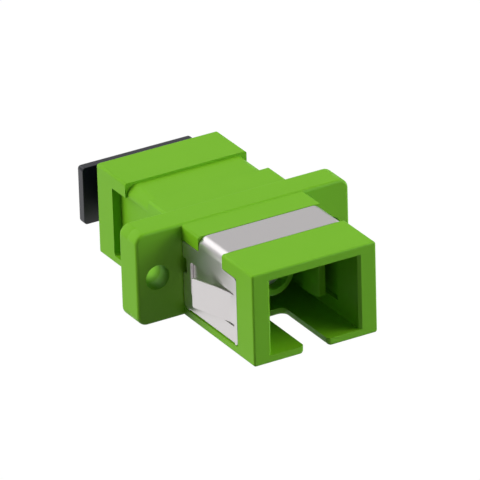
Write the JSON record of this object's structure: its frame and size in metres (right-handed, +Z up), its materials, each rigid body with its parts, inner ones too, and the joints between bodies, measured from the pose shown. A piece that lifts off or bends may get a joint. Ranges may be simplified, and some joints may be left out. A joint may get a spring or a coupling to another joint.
{
  "type": "simplex fibre optic adapter",
  "caption": "Flanged single-fibre coupler: two square ports meet at a split sleeve, with ear holes, a panel spring clip and a dust cap in the far port.",
  "frame": {"origin": "on the fibre axis where the two ferrules meet, in the plane where the housing halves are welded", "axes": "+X across the flange, +Y along the fibre axis towards the capped port, +Z up, away from the key slots"},
  "size_m": [0.0222, 0.0325, 0.0091],
  "materials": {
    "green_plastic": "moulded, satin",
    "insert_plastic": "moulded, satin",
    "zirconia": "ground ceramic",
    "stainless_sheet": "rolled stainless sheet",
    "black_plastic": "moulded, satin"
  },
  "bodies": {
    "adapter": {"front_housing": "green_plastic", "rear_housing": "green_plastic", "front_latch_insert": "insert_plastic", "rear_latch_insert": "insert_plastic", "alignment_sleeve": "zirconia", "panel_clip": "stainless_sheet"},
    "cap": {"dust_cap": "black_plastic"}
  },
  "joints": [
    {"name": "cap_slide", "type": "slide", "parent": "adapter", "child": "cap", "axis": [0, 1, 0], "range_m": [0, 0.012]}
  ]
}
